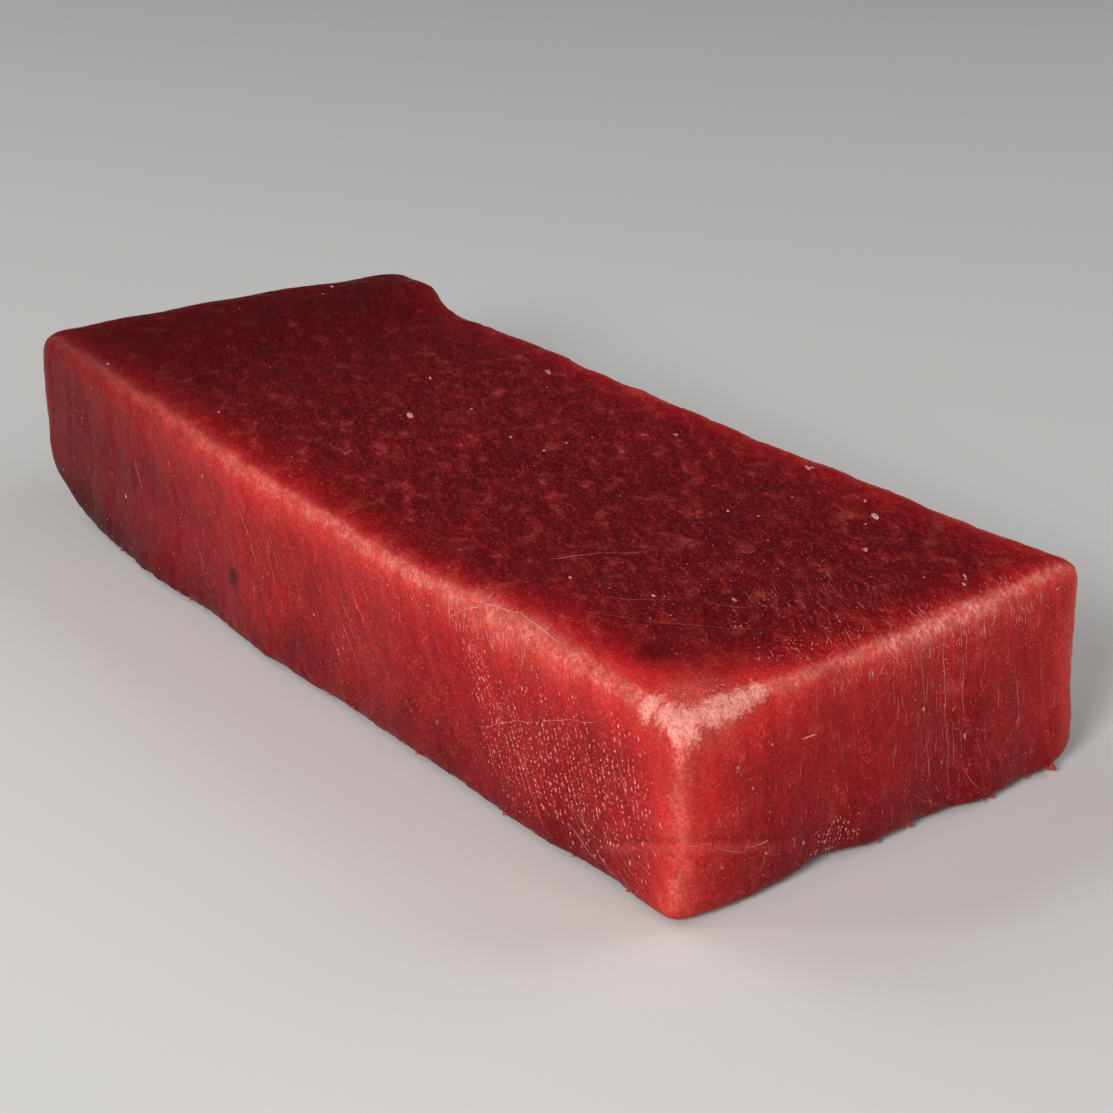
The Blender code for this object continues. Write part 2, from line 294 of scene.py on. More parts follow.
def flesh_material(colours):
    """Raw lean tuna cut with a long knife: dense, moist and a little see-through. Its fine grain and fibres
    give it a soft shimmer, and blood darkens it in patches. The glow of light through the crests, highlights
    along them, glints, a sheen on the top and ends, and the shade of the top, the foot and the far end are
    painted into its colour."""
    material, shader, new = new_material("raw_tuna_flesh")
    place = new("ShaderNodeTexCoord", out="Object")
    point = new(VECTOR_MATH, {0: place, "Scale": 1 / MM}, operation="SCALE")
    x, _, z = new(SEPARATE, {0: point}).node.outputs
    rim, top, end, cut, lip = (
        new("ShaderNodeAttribute", out="Fac", attribute_name=name)
        for name in ("rim", "top", "end", "cut", "lip")
    )
    zones = {name: near_spot(new, point, *zone) for name, zone in ZONES.items()}

    # Blood-rich patches, 6 to 15 mm across, blotches of 2 mm, fibre bundles 2 mm wide and 12 long, single
    # fibres 0.5 mm wide, and a grain of 0.4 mm. Real fibres are 0.1 mm wide and are drawn coarser to show.
    patches = new(NOISE, {"Vector": point, "Scale": 0.085, "Detail": 3.0})
    blotches, bundles, fibres = (
        fibre_pattern(new, point, top, end, *numbers)
        for numbers in ((1.7, 0.45, 3.0, 0.6), (6.0, 0.45, 2.0, 0.5), (5.0, 1.8, 3.0, 0.6))
    )
    grain = new(NOISE, {"Vector": point, "Scale": 2.5, "Detail": 3.0, "Roughness": 0.65})
    cell = new("ShaderNodeTexVoronoi", {"Vector": point, "Scale": 2.6}, out="Distance", feature="F1")
    lone = new(SEPARATE, {0: cell.node.outputs["Color"]})

    # The light that comes through a crest is painted into the colour as a glow: it reaches a few millimetres
    # in, and further at the shoulder, the near corner and beside the near upright edge.
    close = rim
    for nearness, pull in ((blotches, -2.0), (zones["shoulder"], -1.3), (zones["worn_crest"], -0.5)):
        close = new(MATH, {0: nearness, 1: pull, 2: close}, operation="MULTIPLY_ADD")
    close = new(MATH, {0: close, 1: 1.0}, operation="ADD")
    away = close
    for nearness, pull in ((zones["round_corner"], -3.0), (zones["upright_edge"], -2.6)):
        away = new(MATH, {0: nearness, 1: pull, 2: away}, operation="MULTIPLY_ADD")
    away, close = (new(MATH, {0: value, 1: 0.0}, operation="MAXIMUM") for value in (away, close))
    fall = new(MATH, {0: top, 1: -0.08, 2: -0.17}, operation="MULTIPLY_ADD")
    band = new(MATH, {0: away, 1: fall}, operation="MULTIPLY")
    band = new(MATH, {0: band}, operation="EXPONENT")
    side, upper = (
        new(MIX, {"Factor": band, "A": inner, "B": by_crest}, data_type="RGBA")
        for inner, by_crest in ((colours.flesh, colours.side_band), (colours.top, colours.top_band))
    )
    # Painted shade: the top takes the darker top colours, except at the round near corner.
    above = new(MATH, {0: 1.0, 1: zones["round_corner"]}, operation="SUBTRACT")
    above = new(MATH, {0: above, 1: top}, operation="MULTIPLY")
    base = new(MIX, {"Factor": above, "A": side, "B": upper}, data_type="RGBA")

    # Blood away from the crests, then pale fibres, painted glints as specks in about half of the cells of the
    # grain, and a soft, pale painted sheen, 3 to 5 mm across, in the top and the two ends.
    haze = new(NOISE, {"Vector": point, "Scale": 0.24, "Detail": 3.0, "Roughness": 0.5})
    deep, mottle, streak, speck, bright, haze = (
        new(MAP_RANGE, {0: value, 1: start, 2: stop, 3: 0.0, 4: most}, **EASED)
        for value, start, stop, most in (
            (patches, 0.45, 0.75, 0.42),
            (blotches, 0.48, 0.75, 0.36),
            (fibres, 0.5, 0.72, 0.3),
            (cell, 0.42, 0.12, 1.0),
            (lone, 0.45, 1.0, 0.75),
            (haze, 0.56, 0.76, 0.3),
        )
    )
    clear = new(MATH, {0: 1.0, 1: band}, operation="SUBTRACT")
    cross_cut = new(MATH, {0: top, 1: end}, operation="MAXIMUM")
    deep, speck, haze = (
        new(MATH, {0: share, 1: factor}, operation="MULTIPLY")
        for share, factor in ((deep, clear), (speck, bright), (haze, cross_cut))
    )

    # The thin crest itself is pale and broken: partly paler, drier flesh and partly a painted highlight and
    # glow, painted brighter towards the near end, where the light is stronger. Ragged whitish patches lie
    # along it, and a thin line of painted highlight runs on from them.
    broken, nearer, *frays = (
        new(MAP_RANGE, {0: value, 1: start, 2: stop, 3: least, 4: most}, **EASED)
        for value, start, stop, least, most in (
            (blotches, 0.38, 0.6, 0.66, 0.9),
            (x, -90.0, 40.0, 0.6, 1.0),
            (x, -85.0, 60.0, 0.2, 1.0),
            (z, 18.0, 28.0, 0.45, 1.0),
            (fibres, 0.42, 0.6, 0.2, 1.0),
            (blotches, 0.4, 0.56, 0.35, 1.0),
        )
    )
    steep = new(MATH, {0: top, 1: -0.64, 2: -0.58}, operation="MULTIPLY_ADD")
    pale = new(MATH, {0: close, 1: steep}, operation="MULTIPLY")
    pale = new(MATH, {0: pale}, operation="EXPONENT")
    pale = new(MATH, {0: pale, 1: zones["pale_corner"]}, operation="MAXIMUM")
    for factor in (broken, nearer):
        pale = new(MATH, {0: pale, 1: factor}, operation="MULTIPLY")
    lumps = 0.0
    for spot, reach in WHITISH:
        lump = near_spot(new, point, spot, 0.0, reach)
        lumps = new(MATH, {0: lump, 1: lumps}, operation="MAXIMUM")
    for pattern, share in ((blotches, 1.5), (grain, 0.7)):
        lumps = new(MATH, {0: pattern, 1: share, 2: lumps}, operation="MULTIPLY_ADD")
    patch = new(MAP_RANGE, {0: lumps, 1: 1.32, 2: 1.95, 3: 0.0, 4: 0.95}, **EASED)
    # Painted highlight: a thin pale line along the very edge of the crest, wider at the right crest, broken
    # up and kept to the nearer, upper part.
    width, most = (
        new(MATH, {0: zones["frayed_crest"], 1: more, 2: usual}, operation="MULTIPLY_ADD")
        for more, usual in ((1.1, 1.2), (0.5, 0.45))
    )
    thin = new(MAP_RANGE, {0: rim, 1: width, 2: 0.0, 3: 0.0, 4: most}, **EASED)
    for factor in frays:
        thin = new(MATH, {0: thin, 1: factor}, operation="MULTIPLY")
    patch = new(MATH, {0: patch, 1: thin}, operation="MAXIMUM")
    # A painted highlight along the lip of the knife cut.
    edge = new(MATH, {0: lip, 1: 0.35}, operation="MULTIPLY")

    # A fine crease crosses the top by the near corner: painted shade in it and a painted highlight along its
    # edge.
    across = new(VECTOR_MATH, {0: point, 1: CREASE_NORMAL}, out="Value", operation="DOT_PRODUCT")
    bend = new(NOISE, {"Vector": point, "Scale": 0.07, "Detail": 1.0})
    across = new(MATH, {0: bend, 1: 5.0, 2: across}, operation="MULTIPLY_ADD")
    creases = []
    for middle, share in ((57.6, 0.6), (57.2, 0.16)):
        off = new(MATH, {0: across, 1: middle}, operation="ADD")
        off = new(MATH, {0: off}, operation="ABSOLUTE")
        off = new(MAP_RANGE, {0: off, 1: 0.05, 2: 0.35, 3: share, 4: 0.0}, **EASED)
        creases.append(new(MATH, {0: off, 1: zones["crease"]}, operation="MULTIPLY"))

    # Darker: a dark spot on the front and a clot on the top, then painted shade in the bottom of the knife
    # cut, along the foot and towards the far end.
    dark = zones["blood_spot"]
    for shade, share in ((zones["clot"], 0.7), (cut, 0.15)):
        dark = new(MATH, {0: shade, 1: share, 2: dark}, operation="MULTIPLY_ADD")
    # Painted shade along the foot, less of it at the near corner.
    most = new(MATH, {0: zones["corner_foot"], 1: -0.5, 2: 0.5}, operation="MULTIPLY_ADD")
    low = new(MAP_RANGE, {0: z, 1: 12.0, 2: 0.0, 3: 0.0, 4: most}, **EASED)
    dark = new(MATH, {0: dark, 1: low}, operation="ADD")
    # Painted shade towards the far end, where the light falls off.
    far = new(MAP_RANGE, {0: x, 1: -5.0, 2: -88.0, 3: 0.0, 4: 0.74}, **EASED)
    dark = new(MATH, {0: dark, 1: far}, operation="ADD", use_clamp=True)

    for share, shade in (
        (deep, colours.deep), (mottle, colours.fibre), (streak, colours.fibre), (haze, colours.crest),
        (speck, colours.crest), (pale, colours.crest), (patch, colours.patch), (edge, colours.crest),
        (creases[1], colours.crest), (creases[0], colours.deep), (dark, colours.deep),
    ):
        base = new(MIX, {"Factor": share, "A": base, "B": shade}, data_type="RGBA")
    for pattern, start, stop, least, most in (
        (grain, 0.32, 0.7, 0.84, 1.22), (bundles, 0.35, 0.65, 0.88, 1.05), (lone, 0.0, 1.0, 0.87, 1.09),
    ):
        shade = new(MAP_RANGE, {0: pattern, 1: start, 2: stop, 3: least, 4: most}, **EASED)
        base = new(VECTOR_MATH, {0: base, "Scale": shade}, operation="SCALE")
    wet = new(MAP_RANGE, {0: blotches, 1: 0.3, 2: 0.7, 3: 0.24, 4: 0.4}, **EASED)

    height = new(MATH, {0: fibres, 1: 0.7, 2: grain}, operation="MULTIPLY_ADD")
    height = new(MATH, {0: speck, 1: 0.6, 2: height}, operation="MULTIPLY_ADD")
    relief = new("ShaderNodeBump", {"Strength": 0.8, "Distance": 0.14 * MM, "Height": height})
    new(shader, {
        "Base Color": base, "Roughness": wet, "Normal": relief, "Specular IOR Level": 0.05,
        "Subsurface Weight": 0.35, "Subsurface Radius": (1.0, 0.16, 0.12), "Subsurface Scale": 3.0 * MM,
    })
    return material


def moist_material(name, base_colour, tint_colour, scale, roughness, scatter):
    """Pale tissue, wetted: fat, sinew or fibre ends, which let a little of the flesh's red through."""
    material, shader, new = new_material(name)
    place = new("ShaderNodeTexCoord", out="Object")
    point = new(VECTOR_MATH, {0: place, "Scale": 1 / MM}, operation="SCALE")
    tone = new("ShaderNodeAttribute", out="Fac", attribute_name="tone")
    patches = new(NOISE, {"Vector": point, "Scale": scale, "Detail": 2.0, "Roughness": 0.6})
    share = new(MAP_RANGE, {0: patches, 1: 0.3, 2: 0.7, 3: 0.0, 4: 0.5}, **EASED)
    share = new(MATH, {0: share, 1: tone}, operation="ADD", use_clamp=True)
    tissue = new(MIX, {"Factor": share, "A": tint_colour, "B": base_colour}, data_type="RGBA")
    relief = new("ShaderNodeBump", {"Strength": 0.4, "Distance": 0.05 * MM, "Height": patches})
    wet = new(MAP_RANGE, {0: patches, 1: 0.3, 2: 0.7, 3: roughness - 0.06, 4: roughness + 0.08}, **EASED)
    new(shader, {
        "Base Color": tissue, "Roughness": wet, "Normal": relief, "Subsurface Weight": scatter,
        "Subsurface Radius": (1.0, 0.3, 0.22), "Subsurface Scale": 0.8 * MM,
    })
    return material


def flesh_tree(inputs):
    """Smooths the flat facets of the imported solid, raises the relief of the flesh, and marks how far every
    point is from the nearest crest, which side it is on, and where the knife cut it."""
    tree, new, given = new_tree("flesh_relief", inputs)
    spot = new("GeometryNodeInputPosition")
    normal = new("GeometryNodeInputNormal", out="Normal")

    # A crest is where the surface turns away from all three axes; the foot has none.
    soft = {"Value": normal, "Iterations": SOFTEN_ROUNDS}
    soft = new("GeometryNodeBlurAttribute", soft, data_type="FLOAT_VECTOR")
    soft = new(VECTOR_MATH, {0: soft}, operation="NORMALIZE")
    size = new(VECTOR_MATH, {0: soft}, operation="ABSOLUTE")
    size = new(SEPARATE, {0: size}).node.outputs
    most = new(MATH, {0: size[0], 1: size[1]}, operation="MAXIMUM")
    most = new(MATH, {0: most, 1: size[2]}, operation="MAXIMUM")
    up = new(SEPARATE, {0: soft}).node.outputs[2]
    upward = new(MAP_RANGE, {0: up, 1: -0.35, 2: -0.08}, **EASED)
    crest = new(MAP_RANGE, {0: most, 1: 0.985, 2: 0.80}, **EASED)
    crest = new(MATH, {0: crest, 1: upward}, operation="MULTIPLY")
    top = new(MAP_RANGE, {0: size[2], 1: 0.72, 2: 0.97}, **EASED)
    end = new(MAP_RANGE, {0: size[0], 1: 0.55, 2: 0.9}, **EASED)

    # Flat parts lose their facets, and crests keep their shape.
    keep = new(MATH, {0: crest, 1: -0.75, 2: 1.0}, operation="MULTIPLY_ADD")
    smooth = {"Value": spot, "Iterations": SMOOTH_ROUNDS, "Weight": keep}
    smooth = new("GeometryNodeBlurAttribute", smooth, data_type="FLOAT_VECTOR")
    shaped = new("GeometryNodeSetPosition", {"Geometry": given["Geometry"], "Position": smooth})

    # Relief: fibres, soft lumps, crumbly crests, muscle seams and the knife cut.
    point = new(VECTOR_MATH, {0: spot, "Scale": 1 / MM}, operation="SCALE")
    fibres = fibre_pattern(new, point, top, end, 5.0, 0.7, 2.0, 0.55)
    fibres = new(MATH, {0: fibres, 1: 0.5}, operation="SUBTRACT")
    raised = new(MATH, {0: fibres, 1: given["Fibre relief"]}, operation="MULTIPLY")
    for scale, height, where in ((0.22, "Lump relief", None), (0.55, "Crumb relief", crest)):
        lumps = new(NOISE, {"Vector": point, "Scale": scale, "Roughness": 0.55})
        lumps = new(MATH, {0: lumps, 1: 0.5}, operation="SUBTRACT")
        if where:
            lumps = new(MATH, {0: lumps, 1: where}, operation="MULTIPLY")
        raised = new(MATH, {0: lumps, 1: given[height], 2: raised}, operation="MULTIPLY_ADD")
    across = new(VECTOR_MATH, {0: point, 1: SEAM_NORMAL}, out="Value", operation="DOT_PRODUCT")
    bend = new(NOISE, {"Vector": point, "Scale": 0.06})
    across = new(MATH, {0: bend, 1: 9.0, 2: across}, operation="MULTIPLY_ADD")
    pitch = new(MATH, {0: given["Seam pitch"], 1: 0.5 / MM}, operation="MULTIPLY")
    seam = new(MATH, {0: across, 1: pitch}, operation="PINGPONG")
    seam = new(MAP_RANGE, {0: seam, 1: 0.0, 2: 0.9, 3: 1.0, 4: 0.0}, **EASED)
    seam = new(MATH, {0: seam, 1: given["Seam depth"]}, operation="MULTIPLY")
    raised = new(MATH, {0: raised, 1: seam}, operation="SUBTRACT")

    from_knife = new(VECTOR_MATH, {0: spot, 1: KNIFE_POINT}, operation="SUBTRACT")
    above = new(VECTOR_MATH, {0: from_knife, 1: KNIFE_NORMAL}, out="Value", operation="DOT_PRODUCT")
    reach = new(VECTOR_MATH, {0: from_knife}, out="Value", operation="LENGTH")
    near = new(MAP_RANGE, {0: reach, 1: 22.0 * MM, 2: 12.0 * MM}, **EASED)
    # cut is the groove of the knife, and lip a band 1.1 mm off it; the flesh's colour paints shade in the cut
    # and a highlight on the lip.
    lines = []
    for below, half_wide in ((0.0, 0.6 * MM), (1.1 * MM, 0.9 * MM)):
        line = new(MATH, {0: above, 1: below}, operation="ADD")
        line = new(MATH, {0: line}, operation="ABSOLUTE")
        line = new(MAP_RANGE, {0: line, 1: 0.1 * MM, 2: half_wide, 3: 1.0, 4: 0.0}, **EASED)
        lines.append(new(MATH, {0: line, 1: near}, operation="MULTIPLY"))
    cut, lip = lines
    depth = new(MATH, {0: cut, 1: given["Knife depth"]}, operation="MULTIPLY")
    raised = new(MATH, {0: raised, 1: depth}, operation="SUBTRACT")

    # The underside rests flat on the board.
    high = new(SEPARATE, {0: spot}).node.outputs[2]
    lifted = new(MATH, {0: high, 1: 1.5 * MM}, operation="DIVIDE", use_clamp=True)
    raised = new(MATH, {0: raised, 1: lifted}, operation="MULTIPLY")
    offset = new(VECTOR_MATH, {0: soft, "Scale": raised}, operation="SCALE")
    foot = new(MAP_RANGE, {0: high, 1: 4.5 * MM, 2: 0.4 * MM}, **EASED)
    foot = new(MATH, {0: foot, 1: given["Foot relief"]}, operation="MULTIPLY")
    ragged = new(NOISE, {"Vector": point, "Scale": 0.42, "Detail": 3.0, "Roughness": 0.6})
    ragged = new(MATH, {0: ragged, 1: 0.5}, operation="SUBTRACT")
    foot = new(MATH, {0: foot, 1: ragged}, operation="MULTIPLY")
    outward = new(VECTOR_MATH, {0: soft, 1: (1.0, 1.0, 0.0)}, operation="MULTIPLY")
    outward = new(VECTOR_MATH, {0: outward, "Scale": foot}, operation="SCALE")
    offset = new(VECTOR_MATH, {0: offset, 1: outward}, operation="ADD")
    ridge = {"A": crest, "B": RIDGE_FROM}
    ridge = new("FunctionNodeCompare", ridge, data_type="FLOAT", operation="GREATER_THAN")
    ridge = new("GeometryNodeSeparateGeometry", {"Geometry": shaped, "Selection": ridge}, out="Selection")
    rim = new("GeometryNodeProximity", {"Geometry": ridge}, out="Distance", target_element="POINTS")
    rim = new(MATH, {0: rim, 1: MM}, operation="DIVIDE")
    for name, value in (("top", top), ("end", end), ("cut", cut), ("lip", lip), ("rim", rim)):
        stored = {"Geometry": shaped, "Name": name, "Value": value}
        shaped = new("GeometryNodeStoreNamedAttribute", stored, data_type="FLOAT", domain="POINT")
    shaped = new("GeometryNodeSetPosition", {"Geometry": shaped, "Offset": offset})
    finish_tree(new, shaped, given["Flesh"])
    return tree


def even_copy(node, cell):
    """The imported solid's mesh, merged and cut again into even faces of one size."""
    whole = bmesh.new()
    whole.from_mesh(node.data)
    bmesh.ops.remove_doubles(whole, verts=whole.verts, dist=MERGE_WITHIN)
    mesh = bpy.data.meshes.new("even")
    whole.to_mesh(mesh)
    whole.free()
    source = placed("even", mesh)
    modifier = source.modifiers.new("even", "REMESH")
    modifier.mode = "VOXEL"
    modifier.voxel_size = cell
    return modified(source)


class TUNA_OT_flesh(bpy.types.Operator):
    """Cuts the block of flesh, with its relief and its wet, fibrous surface"""

    bl_idname = "tuna.flesh"
    bl_label = "Flesh"

    def execute(self, context):
        sizes = context.scene.tuna_sizes
        inputs = {label: getattr(sizes, label.lower().replace(" ", "_")) for label in RELIEF}
        inputs["Flesh"] = flesh_material(context.scene.tuna_colours)
        mesh = even_copy(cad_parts[NODE], sizes.cell)
        flesh = grown("flesh_block", mesh, flesh_tree(inputs), inputs)
        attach(flesh, "root")
        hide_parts(NODE)
        return {"FINISHED"}


def flesh_surface():
    """The finished flesh, ready for finding the point of it that lies under a place."""
    return BVHTree.FromObject(bpy.data.objects["flesh_block"], bpy.context.evaluated_depsgraph_get())


def on_side(surface, side, across, up):
    """Where a place on one side, in millimetres, meets the flesh, and which way the flesh faces there.
    There is no such point past the crest, where the flesh turns to another side."""
    way, axes = Vector(SIDES[side][0]), SIDES[side][1]
    start = way * -RAY_START
    start[axes[0]], start[axes[1]] = across * MM, up * MM
    spot, normal, _, _ = surface.ray_cast(start, way)
    if spot is None or normal.dot(way) > -LEAST_FACING:
        return None, None
    return spot, normal


def in_oval(chance, across, up, half_across, half_up):
    """A random place in an oval, thicker towards its middle."""
    turn = chance.uniform(0, 2 * math.pi)
    share = chance.random() ** 0.62
    return across + half_across * share * math.cos(turn), up + half_up * share * math.sin(turn)


def in_oblong(chance, across, up, half_across, half_up):
    """A random place in an oblong."""
    return across + half_across * chance.uniform(-1, 1), up + half_up * chance.uniform(-1, 1)


def sprinkled(chance, regions):
    """Random places in each region, each with its side, the lean of the fibres there and its scale."""
    for side, shape, across, up, half_across, half_up, count, scale in regions:
        for _ in range(count):
            yield side, shape(chance, across, up, half_across, half_up), SIDES[side][2], scale


def in_rows(chance, fields):
    """Places in rows that follow the fibres, thinning out towards the rim of an oval field."""
    for side, across, up, half_wide, half_long, lean, gap, scale in fields:
        turn = math.radians(lean)
        along, square = (math.sin(turn), -math.cos(turn)), (math.cos(turn), math.sin(turn))
        row = -half_wide
        while row < half_wide:
            row += gap * chance.uniform(0.7, 1.3)
            step = -half_long
            while step < half_long:
                step += gap * chance.uniform(0.4, 1.1)
                if math.hypot(row / half_wide, step / half_long) > chance.uniform(0.25, 1.0):
                    continue
                if chance.random() < 0.85:
                    drift = row + chance.gauss(0, gap * 0.1)
                    place = [(across, up)[k] + square[k] * drift + along[k] * step for k in (0, 1)]
                    yield side, place, lean + chance.gauss(0, 8), scale


def strewn_points(name, surface, places, size_of):
    """A mesh of points on the flesh, each with its normal, the way its fibres run, and its size."""
    rows = []
    for side, place, lean, scale in places:
        spot, normal = on_side(surface, side, *place)
        if spot:
            rows.append((spot, normal, grain_of(side, lean), Vector(size_of(scale)) * MM))
    spots, *marks = zip(*rows)
    mesh = bpy.data.meshes.new(name)
    mesh.from_pydata(spots, [], [])
    for label, values in zip(("facing", "grain", "size"), marks):
        stored = mesh.attributes.new(label, "FLOAT_VECTOR", "POINT")
        stored.data.foreach_set("vector", [number for value in values for number in value])
    return mesh


def strewn_tree(name, inputs, rings, segments):
    """Sets one small rounded body on every point, turned to lie along the grain, and roughens them all."""
    tree, new, given = new_tree(name, inputs)
    facing, grain, size = (
        new("GeometryNodeInputNamedAttribute", {"Name": label}, out="Attribute", data_type="FLOAT_VECTOR")
        for label in ("facing", "grain", "size")
    )
    turn = new("FunctionNodeAxesToRotation", {0: facing, 1: grain}, primary_axis="Z", secondary_axis="X")
    body = new("GeometryNodeMeshUVSphere", {"Segments": segments, "Rings": rings, "Radius": 1.0}, out="Mesh")
    strewn = {"Points": given["Geometry"], "Instance": body, "Rotation": turn, "Scale": size}
    strewn = new("GeometryNodeInstanceOnPoints", strewn)
    tone = new("FunctionNodeRandomValue", {"Min": 0.0, "Max": 0.5, "Seed": 5}, data_type="FLOAT")
    stored = {"Geometry": strewn, "Name": "tone", "Value": tone}
    strewn = new("GeometryNodeStoreNamedAttribute", stored, data_type="FLOAT", domain="INSTANCE")
    strewn = new("GeometryNodeRealizeInstances", {"Geometry": strewn})
    spot = new("GeometryNodeInputPosition")
    point = new(VECTOR_MATH, {0: spot, "Scale": 1 / MM}, operation="SCALE")
    shift = new(NOISE, {"Vector": point, "Scale": 1.6, "Detail": 1.0}, out="Color")
    shift = new(VECTOR_MATH, {0: shift, 1: (0.5, 0.5, 0.5)}, operation="SUBTRACT")
    shift = new(VECTOR_MATH, {0: shift, "Scale": given["Roughen"]}, operation="SCALE")
    strewn = new("GeometryNodeSetPosition", {"Geometry": strewn, "Offset": shift})
    finish_tree(new, strewn, given["Tissue"])
    return tree


def thread_tree(name, inputs):
    """Makes every path of points into a round thread as thick as its points say."""
    tree, new, given = new_tree(name, inputs)
    paths = new("GeometryNodeMeshToCurve", {"Mesh": given["Geometry"]})
    ring = new("GeometryNodeCurvePrimitiveCircle", {"Resolution": 6, "Radius": 1.0}, out="Curve")
    thick = new("GeometryNodeInputNamedAttribute", {"Name": "thick"}, out="Attribute", data_type="FLOAT")
    threads = {"Curve": paths, "Profile Curve": ring, "Scale": thick, "Fill Caps": True}
    threads = new("GeometryNodeCurveToMesh", threads)
    finish_tree(new, threads, given["Tissue"])
    return tree


def path_mesh(name, paths):
    """A mesh of open paths from lists of points with their thickness, each path with a tone of its own."""
    spots, edges = [], []
    for path in paths:
        edges += [(len(spots) + n, len(spots) + n + 1) for n in range(len(path) - 1)]
        spots += [spot for spot, _ in path]
    mesh = bpy.data.meshes.new(name)
    mesh.from_pydata(spots, edges, [])
    chance = random.Random(len(spots))
    tones = [tone for path in paths for tone in [chance.uniform(0.05, 0.6)] * len(path)]
    for label, values in (("thick", [thick for path in paths for _, thick in path]), ("tone", tones)):
        stored = mesh.attributes.new(label, "FLOAT", "POINT")
        stored.data.foreach_set("value", values)
    return mesh


def draped(surface, chance, spots, thick, wander=0.15, sunk=0.5):
    """A path over the flesh through these points, tapered at both ends and half sunk in."""
    raw = []
    for start, stop in zip(spots, spots[1:]):
        count = max(2, round((stop - start).length / PATH_STEP))
        raw += [start.lerp(stop, n / count) for n in range(count)]
    raw.append(spots[-1])
    along = (spots[-1] - spots[0]).normalized()
    phase = chance.uniform(0, 6)
    path = []
    for n, place in enumerate(raw):
        drift = wander * MM * (math.sin(phase + n * 0.33) + 0.5 * math.sin(2.3 * phase + n * 0.75))
        normal = surface.find_nearest(place)[1]
        spot, normal, _, _ = surface.find_nearest(place + normal.cross(along) * drift)
        radius = thick * (0.25 + 0.75 * math.sin(math.pi * n / len(raw)) ** 0.6)
        path.append((spot - normal * radius * sunk, radius))
    return path


def lay_piece(name, mesh, inputs, make_tree, *numbers):
    """Grows a small piece, which rides the block and shares its slot."""
    piece = grown(name, mesh, make_tree(name, inputs, *numbers), inputs)
    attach(piece, "root")


class TUNA_OT_fibre_ends(bpy.types.Operator):
    """Sets the wet, cut ends of the fibres, densest on the front side by the near corner; their pale colour
    is partly a painted glint
    """

    bl_idname = "tuna.fibre_ends"
    bl_label = "Fibre ends"

    def execute(self, context):
        colours = context.scene.tuna_colours
        width = context.scene.tuna_sizes.fibre_end / MM
        chance = random.Random(11)

        def size_of(scale):
            wide = width * scale * chance.triangular(0.24, 0.72, 0.32)
            return wide * chance.uniform(1.0, 2.8), wide, wide * 0.6

        places = [*in_rows(chance, FIBRE_ROWS), *sprinkled(chance, FIBRE_ENDS)]
        mesh = strewn_points("fibre_ends", flesh_surface(), places, size_of)
        # The pale colour of the fibre ends is partly a painted glint on the wet beads.
        inputs = {
            "Roughen": 0.1 * MM,
            "Tissue": moist_material("wet_fibre_end", colours.patch, colours.side_band, 0.9, 0.16, 0.2),
        }
        lay_piece("fibre_ends", mesh, inputs, strewn_tree, 4, 6)
        return {"FINISHED"}


class TUNA_OT_flecks(bpy.types.Operator):
    """Sets the pale flecks of fat in the cut faces"""

    bl_idname = "tuna.flecks"
    bl_label = "Flecks"

    def execute(self, context):
        colours = context.scene.tuna_colours
        width = context.scene.tuna_sizes.fleck / MM
        chance = random.Random(23)

        def size_of(scale):
            wide = width * scale * chance.choice((0.3, 0.35, 0.45, 0.6, 0.9)) / 2 * chance.uniform(0.8, 1.3)
            return wide * chance.uniform(1.0, 2.2), wide, wide * 0.26

        mesh = strewn_points("pale_flecks", flesh_surface(), sprinkled(chance, FLECKS), size_of)
        inputs = {
            "Roughen": 0.3 * MM,
            "Tissue": moist_material("fat_fleck", colours.fleck, colours.fibre, 1.4, 0.34, 0.3),
        }
        lay_piece("pale_flecks", mesh, inputs, strewn_tree, 6, 8)
        return {"FINISHED"}


class TUNA_OT_sinews(bpy.types.Operator):
    """Lays the thin sinew threads on the clean-cut end and the sides"""

    bl_idname = "tuna.sinews"
    bl_label = "Sinews"

    def execute(self, context):
        colours = context.scene.tuna_colours
        thick = context.scene.tuna_sizes.sinew / 2
        chance = random.Random(37)
        surface = flesh_surface()
        spots = [Vector(spot) * MM for spot in MEMBRANE_EDGE]
        paths = [draped(surface, chance, spots, thick * 2.4, 0.12, 0.8)]
        lines = list(SINEWS)
        for side, across, up, half_across, half_up, count, lean, spread, short, long, scale in SINEW_FIELDS:
            for _ in range(count):
                middle = in_oblong(chance, across, up, half_across, half_up)
                slope = math.radians(lean + chance.gauss(0, spread))
                half = chance.uniform(short, long) / 2
                step = (math.sin(slope) * half, -math.cos(slope) * half)
                ends = [(middle[0] + s * step[0], middle[1] + s * step[1]) for s in (-1, 1)]
                lines.append((side, *ends, scale * chance.uniform(0.6, 1.2)))
        for side, start, stop, scale in lines:
            spots = [on_side(surface, side, *place)[0] for place in (start, stop)]
            if None not in spots:
                paths.append(draped(surface, chance, spots, thick * scale))
        mesh = path_mesh("sinew_threads", paths)
        inputs = {"Tissue": moist_material("sinew", colours.patch, colours.side_band, 0.5, 0.26, 0.3)}
        lay_piece("sinew_threads", mesh, inputs, thread_tree)
        return {"FINISHED"}


